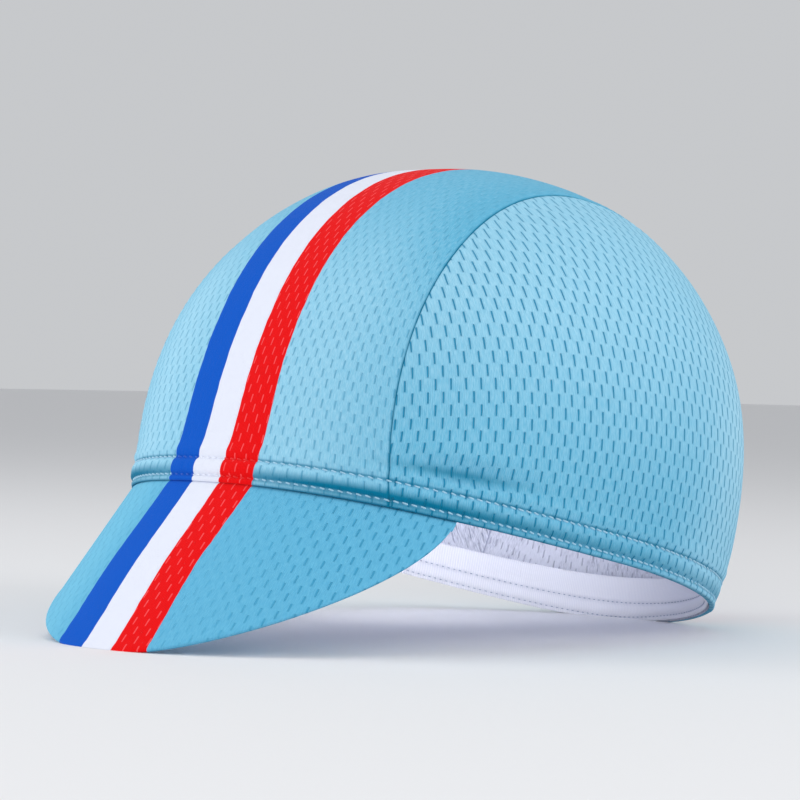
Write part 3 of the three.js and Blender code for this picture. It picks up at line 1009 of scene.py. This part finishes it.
def ribbed_cotton(name):
    nodes = Nodes(name, ROUGHNESS["cotton"])
    across, along, _ = weave_parts(nodes)
    wave, grain = rib_height(nodes, across, along, RIB_PITCH["cotton"])
    furrow = nodes.product(nodes.step(wave, *COTTON["furrow_range"]), COTTON["furrow"])
    colour = nodes.mix(furrow, COLOUR["band"], COLOUR["band_shade"])
    # Painted shade along the stitch rows, towards the band thread's colour
    nodes.colour(shaded(nodes, colour, COTTON["painted_dark"], COLOUR["band_thread_and_shade"]))
    ribs = nodes.math("MULTIPLY_ADD", wave, COTTON["rib"], nodes.product(grain, COTTON["grain"]))
    nodes.bump(ribs, COTTON_BUMP, METRES)
    return nodes.material


def thread(name, colour, printed):
    nodes = Nodes(name, ROUGHNESS["thread"])
    fibre = nodes.noise(nodes.add("ShaderNodeTexCoord").outputs["Object"], FIBRE["pace"], 1.0)
    shade = nodes.mix(nodes.product(fibre, FIBRE["share"]), colour, COLOUR["sky"][0])
    if printed:
        shade, _ = stripe_colour(nodes, shade, 0.0, 0.0, 0.0)
    nodes.colour(shade)
    nodes.bump(fibre, THREAD_BUMP, 0.1 * METRES)
    return nodes.material


# The scene round the cap

def linked(name, data):
    item = bpy.data.objects.new(name, data)
    bpy.context.scene.collection.objects.link(item)
    return item


def photo_camera():
    azimuth, elevation, roll = (math.radians(VIEW[key]) for key in ("azimuth", "elevation", "roll"))
    level = math.cos(elevation)
    back = np.array([math.sin(azimuth) * level, -math.cos(azimuth) * level, math.sin(elevation)])
    right = np.array([math.cos(azimuth), math.sin(azimuth), 0])
    up = np.cross(back, right)
    picture_right = math.cos(roll) * right + math.sin(roll) * up
    picture_up = math.cos(roll) * up - math.sin(roll) * right
    place = (TURN @ (np.array(VIEW_TARGET) + VIEW["distance"] * back) + SHIFT) * METRES
    camera = linked("camera", bpy.data.cameras.new("camera"))
    axes = Matrix([Vector(TURN @ axis) for axis in (picture_right, picture_up, back)]).transposed().to_4x4()
    camera.matrix_world = Matrix.Translation(Vector(place)) @ axes
    camera.data.sensor_width = SENSOR
    camera.data.lens = VIEW["focal"] * SENSOR / PICTURE
    camera.data.shift_x = -VIEW_OFFSET[0] / PICTURE
    camera.data.shift_y = VIEW_OFFSET[1] / PICTURE
    camera.data.clip_start = 0.01
    bpy.context.scene.camera = camera


def studio():
    mesh, half = bpy.data.meshes.new("floor"), FLOOR["half"]
    corners = [(-half, -half, 0), (half, -half, 0), (half, half, 0), (-half, half, 0)]
    mesh.from_pydata(corners, [], [(0, 1, 2, 3)])
    pale = Nodes("floor_pale", FLOOR["roughness"])
    pale.colour(FLOOR["colour"])
    mesh.materials.append(pale.material)
    linked("floor", mesh)
    world = bpy.data.worlds.new("studio")
    world.use_nodes = True
    world.node_tree.nodes["Background"].inputs["Color"].default_value = SKY["colour"]
    world.node_tree.nodes["Background"].inputs["Strength"].default_value = SKY["strength"]
    bpy.context.scene.world = world
    bpy.context.scene.view_settings.view_transform = "Standard"
    for name, lamp in LAMPS.items():
        area_light(name, *lamp)


def area_light(name, place, size, power, aim=(0, 0, 0.07), spread=math.pi):
    light = bpy.data.lights.new(name, "AREA")
    light.size = size
    light.energy = power
    light.spread = spread
    lamp = linked(name, light)
    lamp.location = place
    lamp.rotation_euler = (Vector(aim) - Vector(place)).to_track_quat("-Z", "Y").to_euler()
    lamp.visible_camera = False


def settle(piece, slot, *nodes):
    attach(piece, "root")
    if nodes:
        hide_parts(*nodes)


def dress():
    crown_cloth = mesh_cloth("printed_mesh", True, COLOUR["sky"])
    side_cloth = mesh_cloth("blue_mesh", False, COLOUR["sky"])
    inside = plain_mesh("mesh_inside", COLOUR["inside"], COLOUR["inside_slit"])
    cotton = ribbed_cotton("ribbed_cotton")
    hem_thread = thread("hem_thread", COLOUR["thread"], True)
    band_thread = thread("band_thread", COLOUR["band_thread_and_shade"], False)
    settle(centre_panel([crown_cloth, inside]), "crown_mesh", "crown_centre_panel")
    settle(side_panel("side_panel_left", 1, [side_cloth, inside]), "crown_mesh", "crown_side_panel_left")
    settle(side_panel("side_panel_right", -1, [side_cloth, inside]), "crown_mesh", "crown_side_panel_right")
    settle(sweatband(cotton), "sweatband_cotton", "sweatband")
    # The peak's cloth is the crown's cloth, painted darker as shade
    shaded_peak_cloth = mesh_cloth("printed_peak_mesh", True, COLOUR["peak"])
    shaded_under_cloth = mesh_cloth("plain_peak_mesh", False, COLOUR["peak"])
    settle(peak(shaded_peak_cloth, shaded_under_cloth), "peak_cover", "peak")
    settle(hem_stitches("hem_stitches_upper", HEM["height"], hem_thread), "crown_mesh")
    settle(hem_stitches("hem_stitches_lower", HEM["lower_stitch"], hem_thread), "crown_mesh")
    settle(band_stitches("band_stitches", BAND["stitch"], band_thread), "sweatband_cotton")
    settle(band_stitches("band_edge_stitches", BAND["edge_stitch"], band_thread), "sweatband_cotton")


photo_camera()
studio()
dress()
